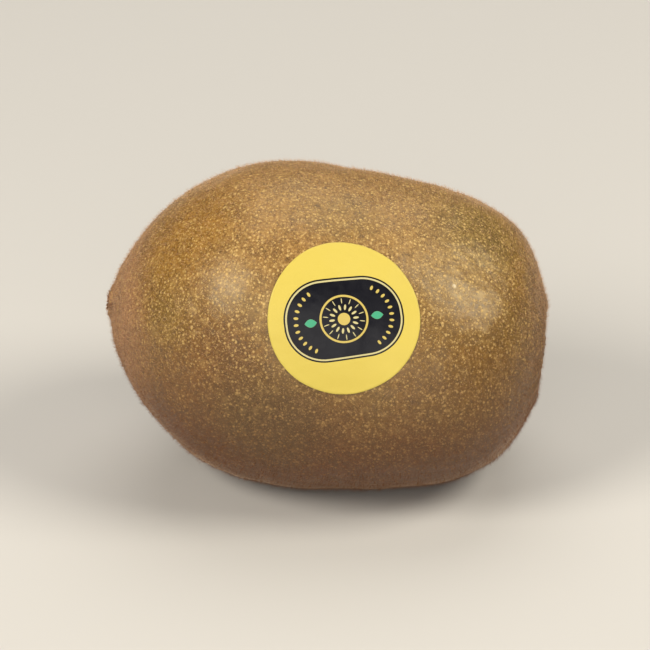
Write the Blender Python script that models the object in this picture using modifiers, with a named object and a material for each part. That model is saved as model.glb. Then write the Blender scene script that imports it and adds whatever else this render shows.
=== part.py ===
"""A golden kiwi fruit as picked, lying on its side, with its dried calyx, dried styles and stuck-on label.

World frame: metres, +Z up, the surface it lies on is z = 0 and the origin is the middle of the flat spot.
The fruit's long axis is the empty fruit_axis's local X: the pointed stylar end is at -X and the blunt
stalk end is at +X. The front, where the label is, faces -Y.
"""

import math
import random

import bmesh
import bpy
import numpy as np
from mathutils import Matrix, Vector

# Body: its length, its radius halfway along, how far it is from round, and the egg's six terms
BODY_LENGTH = 0.0692
BODY_RADIUS = 0.02591
DEPTH_SHARE = 1.022
HEIGHT_SHARE = 0.978
EGG = (-0.089, 0.298, 0.339, -0.286, 0.039, 0.204)
LEAN = math.radians(5.34)
FLAT_DEPTH = 0.0004

# Relief of the two ends, measured from the smooth body
COLLAR_RADIUS = 0.0078
COLLAR_WIDTH = 0.0022
COLLAR_HEIGHT = 0.0004
BASIN_RADIUS = 0.0056
BASIN_DEPTH = 0.0010
BASIN_WALL = 0.0014
NIPPLE_RADIUS = 0.0026
NIPPLE_HEIGHT = 0.0008
DIMPLE_RADIUS = 0.0015
DIMPLE_DEPTH = 0.0012
DIMPLE_WALL = 0.0007

# Gentle unevenness of the cross-section: lobes round it, share of the radius, phase and twist along the axis.
# The first, with one lobe, carries the whole cross-section to one side.
SWELLS = (
    (1, 0.0155, 4.018, -1.753),
    (3, 0.0227, 0.608, 2.4),
    (2, 0.005, -0.40, -1.8),
    (5, 0.006, 0.25, 0.7),
)

# Two soft dents: place along the axis, angle above the front, radius and depth
DENTS = (
    (0.0235, math.radians(62), 0.0050, 0.0006),
    (-0.0120, math.radians(-38), 0.0060, 0.0004),
)

# Dried calyx at the stalk end
BUTTON_RADIUS = 0.0026
BUTTON_HEIGHT = 0.0009
BUTTON_MIDDLE_HEIGHT = 0.0004
BOWL_RADIUS = 0.0009
BOWL_RIM_RADIUS = 0.0018
BUTTON_EDGE_RADIUS = 0.0022
BUTTON_SHARE = 0.58
SEPAL_COUNT = 6
SEPAL_STEPS = 12
SEPAL_REACH = 0.0054
SEPAL_SHORTEST = 0.84
SEPAL_FULLNESS = 1.6
SEPAL_THICKNESS = 0.0005
SEPAL_LIFT = 0.0003
CLEFT_RADIUS = 0.0030
CALYX_RINGS = 26

# Dried flower remains at the stylar end
CORE_RADIUS = 0.0011
CORE_TOP_RADIUS = 0.0009
CORE_RISE = -0.0005
CORE_SIDES = 20
STYLE_COUNT = 11
STYLE_LENGTH = 0.0010
STYLE_SPREAD = 0.00068
STYLE_ROOT = 0.0003
STYLE_TILTS = (0.15, 0.55)
STYLE_TILT_SPREAD = 0.10
FILAMENT_COUNT = 16
FILAMENT_LENGTH = 0.0014
FILAMENT_START = 0.0005
FILAMENT_TILTS = (math.radians(52), math.radians(62))
STRAND_RADIUS = 0.00025
STRAND_TIP_RADIUS = 0.00014
STRAND_SIDES = 5

# Label
LABEL_WIDTH = 0.0234
LABEL_HEIGHT = 0.0244
LABEL_THICKNESS = 0.0003
LABEL_X = 0.0029
LABEL_ANGLE = math.radians(31.3)

# What keeps neighbouring solids apart, and how finely they are divided
GAP = 0.0003
AROUND = 72
ALONG = 46
END_CROWDING = 0.11
LABEL_STEPS = 14
PROFILE_SAMPLES = 4000
SEED = 11

HALF_LENGTH = BODY_LENGTH / 2


def smooth_step(low, high, value):
    t = np.clip((value - low) / (high - low), 0, 1)
    return t * t * (3 - 2 * t)


def body_profile():
    """Axial places, radii and arc lengths of the meridian, from the stylar pole to the stalk pole.

    It is an ellipse whose radius is multiplied by a polynomial of the place along the axis.
    """
    along = -np.cos(np.linspace(0, math.pi, PROFILE_SAMPLES))
    fullness = 1 + sum(term * along ** (power + 1) for power, term in enumerate(EGG))
    x = HALF_LENGTH * along
    r = BODY_RADIUS * np.sqrt(np.clip(1 - along**2, 0, 1)) * fullness
    arc = np.concatenate([[0], np.cumsum(np.hypot(np.diff(x), np.diff(r)))])
    return x, r, arc


PROFILE_X, PROFILE_R, PROFILE_ARC = body_profile()


def swell(x, angle):
    """The gentle unevenness of the cross-section, as a factor on the radius."""
    along = x / HALF_LENGTH
    waves = [share * np.cos(lobes * angle + phase + twist * along) for lobes, share, phase, twist in SWELLS]
    return 1 + sum(waves)


def dent_depth(x, angle):
    """How far the soft dents take the surface in."""
    depth = 0
    for place, above_front, radius, deepest in DENTS:
        around = np.angle(np.exp(1j * (angle - (math.pi - above_front)))) * BODY_RADIUS
        depth = depth + deepest * np.exp(-((x - place) ** 2 + around**2) / radius**2)
    return depth


def stalk_relief(rho):
    """The low calyx ring and the basin inside it, outwards along the axis, at distance rho from it."""
    ring = COLLAR_HEIGHT * np.exp(-(((rho - COLLAR_RADIUS) / COLLAR_WIDTH) ** 2))
    basin = BASIN_DEPTH * (1 - smooth_step(BASIN_RADIUS, BASIN_RADIUS + BASIN_WALL, rho))
    return ring - basin


def stylar_relief(rho):
    """The low nipple and the dimple in its middle, outwards along the axis."""
    nipple = NIPPLE_HEIGHT * np.exp(-((rho / NIPPLE_RADIUS) ** 4))
    dimple = DIMPLE_DEPTH * (1 - smooth_step(DIMPLE_RADIUS, DIMPLE_RADIUS + DIMPLE_WALL, rho))
    return nipple - dimple


def skin_point(x, r, angle):
    """Points of the skin, in the axis frame, from arrays of axial place, profile radius and angle from +Y."""
    near_axis = smooth_step(0, BODY_RADIUS / 2, r)
    rho = r * swell(x, angle) - dent_depth(x, angle) * near_axis
    shift = np.where(x > 0, stalk_relief(rho), -stylar_relief(rho))
    return np.stack(
        [x + shift, rho * np.cos(angle) * DEPTH_SHARE, rho * np.sin(angle) * HEIGHT_SHARE],
        axis=-1,
    )


def skin_by_share(share, angle):
    """Skin points by share of the meridian's length, with the stations drawn together near the ends."""
    warped = share - END_CROWDING * np.sin(2 * math.pi * share)
    arc = warped * PROFILE_ARC[-1]
    x = np.interp(arc, PROFILE_ARC, PROFILE_X)
    r = np.interp(arc, PROFILE_ARC, PROFILE_R)
    return skin_point(x, r, angle)


def skin_at(x, angle):
    """Skin points by axial place, for what lies on the side of the fruit."""
    return skin_point(x, np.interp(x, PROFILE_X, PROFILE_R), angle)


def resting_place():
    """The axis frame's matrix: leaned, and set so that the flat spot's middle is the origin."""
    share, angle = np.meshgrid(np.linspace(0, 1, 801), np.linspace(0, 2 * math.pi, 361))
    points = skin_by_share(share, angle).reshape(-1, 3)
    lean = Matrix.Rotation(LEAN, 4, "Y")
    turned = points @ np.array(lean.to_3x3()).T
    lowest = turned[turned[:, 2].argmin()]
    place = Matrix.Translation((-lowest[0], -lowest[1], -lowest[2] - FLAT_DEPTH))
    return place @ lean


def material(name, colour, roughness):
    made = bpy.data.materials.new(name)
    made.use_nodes = True
    shader = made.node_tree.nodes["Principled BSDF"]
    shader.inputs["Base Color"].default_value = (*colour, 1)
    shader.inputs["Roughness"].default_value = roughness
    shader.inputs["Metallic"].default_value = 0
    return made


def new_object(name, bm, collection):
    """A mesh object from a bmesh, which is freed."""
    mesh = bpy.data.meshes.new(name)
    bm.to_mesh(mesh)
    bm.free()
    made = bpy.data.objects.new(name, mesh)
    collection.objects.link(made)
    return made


def bake(obj):
    """Replaces the object's mesh by its evaluated one and drops its modifiers."""
    bpy.context.view_layer.update()
    graph = bpy.context.evaluated_depsgraph_get()
    mesh = bpy.data.meshes.new_from_object(obj.evaluated_get(graph))
    obj.modifiers.clear()
    obj.data = mesh


def join_repeats(base, repeats):
    """One Boolean union of base with every object of the collection, which is then removed."""
    union = base.modifiers.new("join repeats", "BOOLEAN")
    union.operation = "UNION"
    union.operand_type = "COLLECTION"
    union.collection = repeats
    union.solver = "EXACT"
    union.use_self = True
    bake(base)
    for obj in list(repeats.objects):
        bpy.data.objects.remove(obj)
    bpy.data.collections.remove(repeats)


def shade(obj, slot):
    obj.data.materials.clear()
    obj.data.materials.append(slot)
    obj.data.shade_smooth()
    obj.data.set_sharp_from_angle(angle=math.radians(35))


def make_body(collection, place):
    """The fruit itself: a sphere drawn out to the skin's formula and cut flat where it lies."""
    bm = bmesh.new()
    bmesh.ops.create_uvsphere(bm, u_segments=AROUND, v_segments=ALONG, radius=1)
    poles_on_x = Matrix.Rotation(math.pi / 2, 3, "Y")
    unit = np.array([poles_on_x @ v.co for v in bm.verts])
    share = np.arccos(np.clip(-unit[:, 0], -1, 1)) / math.pi
    angle = np.arctan2(unit[:, 2], unit[:, 1])
    for vert, point in zip(bm.verts, skin_by_share(share, angle)):
        vert.co = point
    ground = place.inverted()
    cut = bmesh.ops.bisect_plane(
        bm,
        geom=bm.verts[:] + bm.edges[:] + bm.faces[:],
        plane_co=ground.translation,
        plane_no=ground.to_3x3() @ Vector((0, 0, -1)),
        clear_outer=True,
    )
    rim = [e for e in cut["geom_cut"] if isinstance(e, bmesh.types.BMEdge)]
    bmesh.ops.holes_fill(bm, edges=rim, sides=0)
    bmesh.ops.recalc_face_normals(bm, faces=bm.faces[:])
    return new_object("fruit_body", bm, collection)


def stalk_surface(rho):
    """Height of the skin over the stalk pole's plane, at distance rho from the axis."""
    near = PROFILE_X > HALF_LENGTH / 2
    place = np.interp(rho, PROFILE_R[near][::-1], PROFILE_X[near][::-1])
    return stalk_relief(rho) + place - HALF_LENGTH


def calyx_outline(turn, reaches):
    """Distance of the calyx's edge from the axis: one pointed sepal after another, with clefts between them."""
    count = len(reaches)
    lobe = turn / (2 * math.pi) * count
    index = np.floor(lobe + 0.5)
    from_middle = 2 * np.abs(lobe - index)
    reach = np.array(reaches)[index.astype(int) % count]
    return CLEFT_RADIUS + (reach - CLEFT_RADIUS) * (1 - from_middle**SEPAL_FULLNESS)


def make_calyx(collection, axis_frame, draw):
    """The woody scar that the stalk broke from, with the dried sepals spread from it over the calyx ring.

    A sphere is flattened so that its upper half is the top face and its lower half the underside. Its +Z
    points out of the fruit.
    """
    reaches = [SEPAL_REACH * draw.uniform(SEPAL_SHORTEST, 1) for _ in range(SEPAL_COUNT)]
    bm = bmesh.new()
    bmesh.ops.create_uvsphere(bm, u_segments=SEPAL_COUNT * SEPAL_STEPS, v_segments=CALYX_RINGS, radius=1)
    unit = np.array([v.co for v in bm.verts])
    turn = np.arctan2(unit[:, 1], unit[:, 0]) % (2 * math.pi)
    out = 1 - np.abs(2 * np.arccos(np.clip(unit[:, 2], -1, 1)) / math.pi - 1)
    past = np.clip((out - BUTTON_SHARE) / (1 - BUTTON_SHARE), 0, 1)
    beyond = (calyx_outline(turn, reaches) - BUTTON_RADIUS) * past
    rho = BUTTON_RADIUS * np.clip(out / BUTTON_SHARE, 0, 1) + beyond

    bottom = stalk_surface(rho) + GAP + SEPAL_LIFT * past**2
    scale = bottom + SEPAL_THICKNESS * np.sqrt(np.clip(1 - past**4, 0, 1))
    bowl = smooth_step(BOWL_RADIUS, BOWL_RIM_RADIUS, rho)
    rise = BUTTON_MIDDLE_HEIGHT + (BUTTON_HEIGHT - BUTTON_MIDDLE_HEIGHT) * bowl
    button = bottom[rho.argmin()] + rise
    edge = 1 - smooth_step(BUTTON_EDGE_RADIUS, BUTTON_RADIUS, rho)
    top = scale + (button - scale) * edge
    height = np.where(unit[:, 2] > 0, top, bottom)
    for vert, radius, around, high in zip(bm.verts, rho, turn, height):
        vert.co = (radius * math.cos(around), radius * math.sin(around), high)
    bmesh.ops.recalc_face_normals(bm, faces=bm.faces[:])
    calyx = new_object("stalk_calyx", bm, collection)
    calyx.parent = axis_frame
    calyx.location = (HALF_LENGTH, 0, 0)
    calyx.rotation_euler = (0, math.pi / 2, 0)
    return calyx


def make_strand(collection, name, start, turn, tilt, length):
    """One tapered style or filament: start is its root's distance from the axis and height over the pole."""
    outwards = Vector((math.cos(turn), math.sin(turn), 0))
    up = Vector((0, 0, 1))
    base = outwards * start[0] + up * start[1]
    direction = outwards * math.sin(tilt) + up * math.cos(tilt)
    bm = bmesh.new()
    bmesh.ops.create_cone(
        bm,
        cap_ends=True,
        segments=STRAND_SIDES,
        radius1=STRAND_RADIUS,
        radius2=STRAND_TIP_RADIUS,
        depth=length,
    )
    turned = direction.to_track_quat("Z", "Y").to_matrix().to_4x4()
    middle = Matrix.Translation(base + direction * length / 2)
    bm.transform(middle @ turned)
    new_object(name, bm, collection)


def make_flower_remains(collection, axis_frame, draw):
    """The dried styles in the middle and the withered filaments round them, fused to a small woody core."""
    repeats = bpy.data.collections.new("strands")
    bpy.context.scene.collection.children.link(repeats)
    floor = -DIMPLE_DEPTH + NIPPLE_HEIGHT + GAP
    top = NIPPLE_HEIGHT + CORE_RISE
    bm = bmesh.new()
    bmesh.ops.create_cone(
        bm,
        cap_ends=True,
        segments=CORE_SIDES,
        radius1=CORE_RADIUS,
        radius2=CORE_TOP_RADIUS,
        depth=top - floor,
        matrix=Matrix.Translation((0, 0, (top + floor) / 2)),
    )
    core = new_object("stylar_remains", bm, collection)
    golden_turn = math.pi * (3 - math.sqrt(5))
    least, most = STYLE_TILTS
    for index in range(STYLE_COUNT):
        share = math.sqrt((index + 0.5) / STYLE_COUNT)
        tilt = least + (most - least) * share + draw.uniform(-STYLE_TILT_SPREAD, STYLE_TILT_SPREAD)
        length = STYLE_LENGTH * draw.uniform(0.7, 1)
        start = (STYLE_SPREAD * share, top - STYLE_ROOT)
        make_strand(repeats, f"style_{index}", start, index * golden_turn, tilt, length)
    for index in range(FILAMENT_COUNT):
        turn = 2 * math.pi * (index + draw.uniform(-0.25, 0.25)) / FILAMENT_COUNT
        length = FILAMENT_LENGTH * draw.uniform(0.75, 1)
        start = (FILAMENT_START, top - STRAND_RADIUS * draw.uniform(0.2, 1))
        make_strand(repeats, f"filament_{index}", start, turn, draw.uniform(*FILAMENT_TILTS), length)
    join_repeats(core, repeats)
    core.parent = axis_frame
    core.location = (-HALF_LENGTH, 0, 0)
    core.rotation_euler = (0, -math.pi / 2, 0)
    return core


def make_label(collection):
    """The round label: a grid drawn in to a disc, wrapped on the skin and thickened outwards."""
    bm = bmesh.new()
    bmesh.ops.create_grid(bm, x_segments=LABEL_STEPS, y_segments=LABEL_STEPS, size=1)
    for vert in bm.verts:
        u, v = vert.co.x, vert.co.y
        along = u * math.sqrt(1 - v * v / 2) * LABEL_WIDTH / 2
        up = v * math.sqrt(1 - u * u / 2) * LABEL_HEIGHT / 2
        x = LABEL_X + along
        angle = math.pi - (LABEL_ANGLE + up / BODY_RADIUS)
        point = Vector(skin_at(x, angle))
        outwards = Vector((0, point.y, point.z)).normalized()
        vert.co = point + outwards * GAP
    bm.normal_update()
    facing = sum((face.normal.y for face in bm.faces), 0.0)
    if facing > 0:
        bmesh.ops.reverse_faces(bm, faces=bm.faces[:])
    label = new_object("label", bm, collection)
    shell = label.modifiers.new("thickness", "SOLIDIFY")
    shell.thickness = LABEL_THICKNESS
    shell.offset = 1
    return label


def main():
    for obj in list(bpy.data.objects):
        bpy.data.objects.remove(obj)
    fruit = bpy.data.collections.new("golden_kiwi_fruit")
    bpy.context.scene.collection.children.link(fruit)
    draw = random.Random(SEED)

    place = resting_place()
    axis_frame = bpy.data.objects.new("fruit_axis", None)
    axis_frame.empty_display_size = 0.01
    axis_frame.matrix_world = place
    fruit.objects.link(axis_frame)

    body = make_body(fruit, place)
    body.parent = axis_frame
    calyx = make_calyx(fruit, axis_frame, draw)
    remains = make_flower_remains(fruit, axis_frame, draw)
    label = make_label(fruit)
    label.parent = axis_frame

    shade(body, material("brown_skin", (0.27, 0.17, 0.075), 0.62))
    shade(calyx, material("dry_calyx", (0.25, 0.11, 0.05), 0.85))
    shade(remains, material("dry_styles", (0.16, 0.08, 0.04), 0.9))
    shade(label, material("yellow_label", (0.87, 0.68, 0.12), 0.4))


main()
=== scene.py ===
# Golden kiwi fruit lying on its side: skin, warts and fuzz, dried calyx, dried styles and a round label,
# then a pale floor, soft light and the camera. Everything is in metres in the frame of the solids.
import math
import random

import bpy
import numpy as np
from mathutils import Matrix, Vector


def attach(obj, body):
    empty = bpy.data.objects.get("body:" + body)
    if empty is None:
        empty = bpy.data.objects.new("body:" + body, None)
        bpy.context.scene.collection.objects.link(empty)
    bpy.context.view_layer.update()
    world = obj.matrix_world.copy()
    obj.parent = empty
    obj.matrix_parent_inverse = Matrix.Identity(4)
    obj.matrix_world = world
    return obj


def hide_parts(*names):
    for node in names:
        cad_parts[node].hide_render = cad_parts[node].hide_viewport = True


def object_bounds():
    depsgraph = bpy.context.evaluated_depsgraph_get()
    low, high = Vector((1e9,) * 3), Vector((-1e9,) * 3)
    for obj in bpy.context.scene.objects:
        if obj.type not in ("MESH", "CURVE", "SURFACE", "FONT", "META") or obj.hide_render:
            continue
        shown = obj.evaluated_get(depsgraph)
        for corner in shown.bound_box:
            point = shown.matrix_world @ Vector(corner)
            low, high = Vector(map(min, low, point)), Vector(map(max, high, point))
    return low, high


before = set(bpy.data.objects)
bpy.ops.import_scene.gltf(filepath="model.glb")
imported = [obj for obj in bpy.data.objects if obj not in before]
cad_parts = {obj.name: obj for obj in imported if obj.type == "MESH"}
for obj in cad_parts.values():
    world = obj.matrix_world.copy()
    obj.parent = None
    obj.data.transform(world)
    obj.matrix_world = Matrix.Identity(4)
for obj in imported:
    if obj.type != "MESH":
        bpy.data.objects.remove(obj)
cadLow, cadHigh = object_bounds()
print("frame loaded:", sorted(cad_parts))


# The egg that the solids follow: its own axis lies along X, leaned and set down on its flat spot
fruit = dict(
    length=0.0692, radius=0.02591,
    deepShare=1.022, highShare=0.978,         # how far the cross-section is from round
    eggTerms=(-0.089, 0.298, 0.339, -0.286, 0.039, 0.204),
    swells=((1, 0.0155, 4.018, -1.753), (3, 0.0227, 0.608, 2.4),
            (2, 0.005, -0.40, -1.8), (5, 0.006, 0.25, 0.7)),          # lobes, share, phase, twist
    dents=((0.0235, 62, 0.0050, 0.0006), (-0.0120, -38, 0.0060, 0.0004)),
    collar=(0.0078, 0.0022, 0.0004),          # radius, width and height of the ring round the calyx
    basin=(0.0056, 0.0014, 0.0010),           # radius, wall and depth of the hollow inside it
    nipple=(0.0026, 0.0008),
    dimple=(0.0015, 0.0007, 0.0012),
    lean=math.radians(5.34), flatDepth=0.0004,
)
halfLength = fruit["length"] / 2


def unit(vectors):
    # Vectors divided by their lengths
    return vectors / np.linalg.norm(vectors, axis=-1, keepdims=True)


def flatPoints(rho, turns):
    # Points of a plane from their distance from its middle and their turn
    return np.stack([rho * np.cos(turns), rho * np.sin(turns), 0 * rho], axis=-1)


def roundTurns(count):
    # Evenly spaced angles once round, without the repeated last one
    return np.linspace(0, 2 * math.pi, count, endpoint=False)


def smoothStep(low, high, value):
    # Cubic ease: 0 below low, 1 above high
    t = np.clip((value - low) / (high - low), 0, 1)
    return t * t * (3 - 2 * t)


def waves(points, wavelength, seed, count=26):
    # Sum of sines of about one wavelength along random directions with random phases, roughly -1 to 1
    draw = np.random.default_rng(seed)
    directions = draw.normal(size=(3, count))
    directions /= np.linalg.norm(directions, axis=0)
    lengths = wavelength * draw.uniform(0.7, 1.4, count)
    phases = draw.uniform(0, 2 * math.pi, count)
    return np.sin(points @ (directions * (2 * math.pi / lengths)) + phases).sum(-1) / math.sqrt(count)


def meridian():
    # Half outline from the pointed pole to the blunt one: an ellipse times a polynomial of the place along
    # the axis, with its arc length and the two parts of its outward normal
    along = -np.cos(np.linspace(0, math.pi, 4001))
    fullness = 1 + sum(term * along ** (power + 1) for power, term in enumerate(fruit["eggTerms"]))
    x = halfLength * along
    r = fruit["radius"] * np.sqrt(np.clip(1 - along**2, 0, 1)) * fullness
    arc = np.concatenate([[0], np.cumsum(np.hypot(np.diff(x), np.diff(r)))])
    dx = np.gradient(x, arc)
    dr = np.gradient(r, arc)
    return dict(x=x, r=r, arc=arc, normalX=-dr, normalR=dx)


outline = meridian()
arcLength = outline["arc"][-1]


def alongMeridian(arc, what):
    # Value of one of the meridian's columns at an arc length from the pointed pole
    return np.interp(arc, outline["arc"], outline[what])


def swell(x, angle):
    # Product of the radius: 1 plus a few waves round the fruit that twist along it
    along = x / halfLength
    return 1 + sum(share * np.cos(lobes * angle + phase + twist * along)
                   for lobes, share, phase, twist in fruit["swells"])


def dentDepth(x, angle):
    # Sum of round Gaussian hollows, each at a place along the axis and an angle above the front
    depth = 0
    for place, aboveFront, radius, deepest in fruit["dents"]:
        turned = np.angle(np.exp(1j * (angle - math.pi + math.radians(aboveFront))))
        depth = depth + deepest * np.exp(-((x - place) ** 2 + (turned * fruit["radius"]) ** 2) / radius**2)
    return depth


def stalkRelief(rho):
    # Low ring round the calyx less the basin inside it
    ringRadius, ringWidth, ringHeight = fruit["collar"]
    basinRadius, wall, depth = fruit["basin"]
    ring = ringHeight * np.exp(-(((rho - ringRadius) / ringWidth) ** 2))
    return ring - depth * (1 - smoothStep(basinRadius, basinRadius + wall, rho))


def stylarRelief(rho):
    # Low nipple less the dimple in its middle
    nippleRadius, nippleHeight = fruit["nipple"]
    dimpleRadius, wall, depth = fruit["dimple"]
    nipple = nippleHeight * np.exp(-((rho / nippleRadius) ** 4))
    return nipple - depth * (1 - smoothStep(dimpleRadius, dimpleRadius + wall, rho))


def bareSkin(arc, angle):
    # Smooth skin point and unit normal, in the fruit's own frame, at an arc length and an angle from +Y
    x = alongMeridian(arc, "x")
    r = alongMeridian(arc, "r")
    rho = r * swell(x, angle) - dentDepth(x, angle) * smoothStep(0, fruit["radius"] / 2, r)
    shift = np.where(x > 0, stalkRelief(rho), -stylarRelief(rho))
    points = np.stack([x + shift,
                       rho * np.cos(angle) * fruit["deepShare"],
                       rho * np.sin(angle) * fruit["highShare"]], axis=-1)
    outR = alongMeridian(arc, "normalR")
    normals = np.stack([alongMeridian(arc, "normalX") + 0 * angle,
                        outR * np.cos(angle) / fruit["deepShare"],
                        outR * np.sin(angle) / fruit["highShare"]], axis=-1)
    return points, unit(normals)


def lowestPoint():
    # Lowest point of the leaned egg, found on a fine grid
    arc, angle = np.meshgrid(np.linspace(0, 1, 801), np.linspace(0, 2 * math.pi, 361))
    warped = (arc - 0.11 * np.sin(2 * math.pi * arc)) * arcLength
    points = bareSkin(warped, angle)[0].reshape(-1, 3) @ leanMatrix.T
    return points[points[:, 2].argmin()]


leanMatrix = np.array([[math.cos(fruit["lean"]), 0, math.sin(fruit["lean"])],
                       [0, 1, 0],
                       [-math.sin(fruit["lean"]), 0, math.cos(fruit["lean"])]])
restShift = -lowestPoint() - np.array([0, 0, fruit["flatDepth"]])


def toRow(points):
    # From the fruit's own frame to the row frame
    return points @ leanMatrix.T + restShift


def turnToRow(vectors):
    # Directions from the fruit's own frame to the row frame
    return vectors @ leanMatrix.T


# Fine relief of the skin, in metres
skin = dict(
    around=400, along=242, endCrowding=0.085,
    lumps=(0.0105, 0.00010), dimples=(0.0042, 0.000035), peel=(0.0016, 0.000022),     # length and height
    peelWaves=40, wanderLength=0.006, wander=1.4,
    puckers=15, puckerHeight=0.00007,
    stalkPuckers=(0.0098, 0.0038), stylarPuckers=(0.0050, 0.00266),   # radius of the band and its reach
    seed=5,
)


def skinRelief(points, x, rho, angle, fine=1.0):
    # Height over the smooth skin: long soft lumps, shallow dimples, an orange-peel grain, and puckers that run
    # in to both ends
    seed = skin["seed"]
    relief = sum(height * waves(points, length, seed + step)
                 for step, (length, height) in enumerate((skin["lumps"], skin["dimples"])))
    peelLength, peelHeight = skin["peel"]
    relief = relief + fine * peelHeight * waves(points, peelLength, seed + 2, skin["peelWaves"])
    wander = waves(points, skin["wanderLength"], seed + 3)
    window = 0
    for (radius, reach), here in ((skin["stalkPuckers"], x > 0), (skin["stylarPuckers"], x < 0)):
        window = window + np.exp(-(((rho - radius) / reach) ** 2)) * here
    return relief + skin["puckerHeight"] * np.cos(skin["puckers"] * angle + skin["wander"] * wander) * window


def skinAt(arc, angle, fine=1.0, lift=0.0):
    # Finished skin point and normal in the row frame: the smooth skin raised along its normal by its relief
    # and lift, and pressed flat where it meets the surface
    points, normals = bareSkin(arc, angle)
    rho = np.hypot(points[..., 1], points[..., 2])
    raised = skinRelief(points, points[..., 0], rho, angle, fine) + lift
    placed = toRow(points + normals * raised[..., None])
    placed[..., 2] = np.maximum(placed[..., 2], 0)
    return placed, turnToRow(normals)


def skinPlace(x, aboveFront):
    # Point on the skin from its place along the axis and its degrees above the front
    arc = np.array(np.interp(x, outline["x"], outline["arc"]))
    return skinAt(arc, np.array(math.pi - math.radians(aboveFront)), 0.0)[0]


def putObject(name, data):
    # Object with its data, in the scene
    made = bpy.data.objects.new(name, data)
    bpy.context.scene.collection.objects.link(made)
    return made


def putMesh(name, verts, faceSets, cornerUv=None):
    # Mesh from whole arrays, shaded smooth: faceSets is a list of index arrays with one face a row
    mesh = bpy.data.meshes.new(name)
    corners = np.concatenate([faces.ravel() for faces in faceSets]).astype(np.int32)
    sides = np.concatenate([np.full(len(faces), faces.shape[1]) for faces in faceSets])
    starts = (np.cumsum(sides) - sides).astype(np.int32)
    mesh.vertices.add(len(verts))
    mesh.vertices.foreach_set("co", np.ascontiguousarray(verts, dtype=np.float32).ravel())
    mesh.loops.add(len(corners))
    mesh.loops.foreach_set("vertex_index", corners)
    mesh.polygons.add(len(starts))
    mesh.polygons.foreach_set("loop_start", starts)
    mesh.polygons.foreach_set("use_smooth", np.full(len(starts), True))
    if cornerUv is not None:
        layer = mesh.uv_layers.new(name="pieceMap")
        layer.data.foreach_set("uv", np.ascontiguousarray(cornerUv, dtype=np.float32).ravel())
    mesh.update(calc_edges=True)
    mesh.validate()
    return putObject(name, mesh)


def closedFaces(rows, columns):
    # Faces of rings joined each to the next and to itself, with a pole point at both ends: the squares between
    # the rings, then the fans round the first and last poles
    row, column = np.meshgrid(np.arange(rows - 1), np.arange(columns), indexing="ij")
    after = (column + 1) % columns
    quads = np.stack([row * columns + column, row * columns + after,
                      (row + 1) * columns + after, (row + 1) * columns + column], axis=-1).reshape(-1, 4)
    ring = np.arange(columns)
    following = (ring + 1) % columns
    base = (rows - 1) * columns
    first = np.full(columns, rows * columns)
    return [quads, np.stack([following, ring, first], axis=-1),
            np.stack([base + ring, base + following, first + 1], axis=-1)]


def closedRings(name, rings, poles, turned=True):
    # Closed surface from rings of points (shape rows, columns, 3) and the points at both ends; its map runs
    # once round in u and from pole to pole in v; turned reverses the faces, so that they point outwards where
    # the rings run the other way round
    rows, columns = rings.shape[:2]
    pointV = np.concatenate([np.repeat(np.arange(1, rows + 1), columns), [0, rows + 1]]) / (rows + 1)
    sets = closedFaces(rows, columns)
    maps = []
    for faces, shift in zip(sets, ([0, 1, 1, 0], [1, 0, 0.5], [0, 1, 0.5])):
        u = (np.resize(np.arange(columns), len(faces))[:, None] + shift) / columns
        maps.append(np.stack([u, pointV[faces]], axis=-1))
    if turned:
        sets = [faces[:, ::-1] for faces in sets]
        maps = [flat[:, ::-1] for flat in maps]
    return putMesh(name, np.concatenate([rings.reshape(-1, 3), poles]), sets,
                   np.concatenate([flat.reshape(-1, 2) for flat in maps]))


def repeatedShape(name, verts, faces):
    # Many copies of one small shape: verts has shape (copies, points, 3) and faces lists the shape's own faces
    # by their number of sides
    copies, points = verts.shape[:2]
    offsets = np.arange(copies)[:, None, None] * points
    sets = [(np.array(shape)[None] + offsets).reshape(-1, len(shape[0])) for shape in faces]
    return putMesh(name, verts.reshape(-1, 3), sets)


def finishPiece(piece, material, replaced=None):
    # Material, body and the solid that the piece stands for
    piece.data.materials.append(material)
    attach(piece, "root")
    if replaced:
        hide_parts(replaced)
    print(piece.name, "has", len(piece.data.polygons), "faces")
    return piece


def plug(tree, node, links):
    # Gives each named input of a node a socket or a fixed value
    for socket, source in links.items():
        if isinstance(source, bpy.types.NodeSocket):
            tree.links.new(source, node.inputs[socket])
        else:
            node.inputs[socket].default_value = source


def addNode(tree, kind, links=None, **settings):
    # Shader node with its settings and its inputs
    made = tree.nodes.new(kind)
    for name, value in settings.items():
        setattr(made, name, value)
    plug(tree, made, links or {})
    return made


def maths(tree, operation, first, second=0.0, third=0.0):
    # One step of arithmetic on sockets or numbers
    return addNode(tree, "ShaderNodeMath", {0: first, 1: second, 2: third}, operation=operation).outputs[0]


def times(tree, first, second):
    # Product of two sockets or numbers
    return maths(tree, "MULTIPLY", first, second)


def timesPlus(tree, first, second, third):
    # Product of the first two, plus the third
    return maths(tree, "MULTIPLY_ADD", first, second, third)


def ramp(tree, value, low, high):
    # 0 to 1 as value goes from low to high, eased; low may be the larger
    made = addNode(tree, "ShaderNodeMapRange", {"Value": value, "From Min": low, "From Max": high},
                   interpolation_type="SMOOTHSTEP")
    return made.outputs["Result"]


def mixColour(tree, factor, first, second):
    # Colour between first and second
    return addNode(tree, "ShaderNodeMix", {0: factor, 6: first, 7: second}, data_type="RGBA").outputs[2]


def bumped(tree, height, distance, strength):
    # Normal of a surface raised by height times distance
    return addNode(tree, "ShaderNodeBump", {"Height": height, "Distance": distance,
                                            "Strength": strength}).outputs["Normal"]


def noise(tree, where, scale, detail=2.0, roughness=0.5, distortion=0.0):
    # Noise value between 0 and 1
    made = addNode(tree, "ShaderNodeTexNoise", {"Vector": where, "Scale": scale, "Detail": detail,
                                                "Roughness": roughness, "Distortion": distortion})
    return made.outputs["Fac"]


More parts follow.
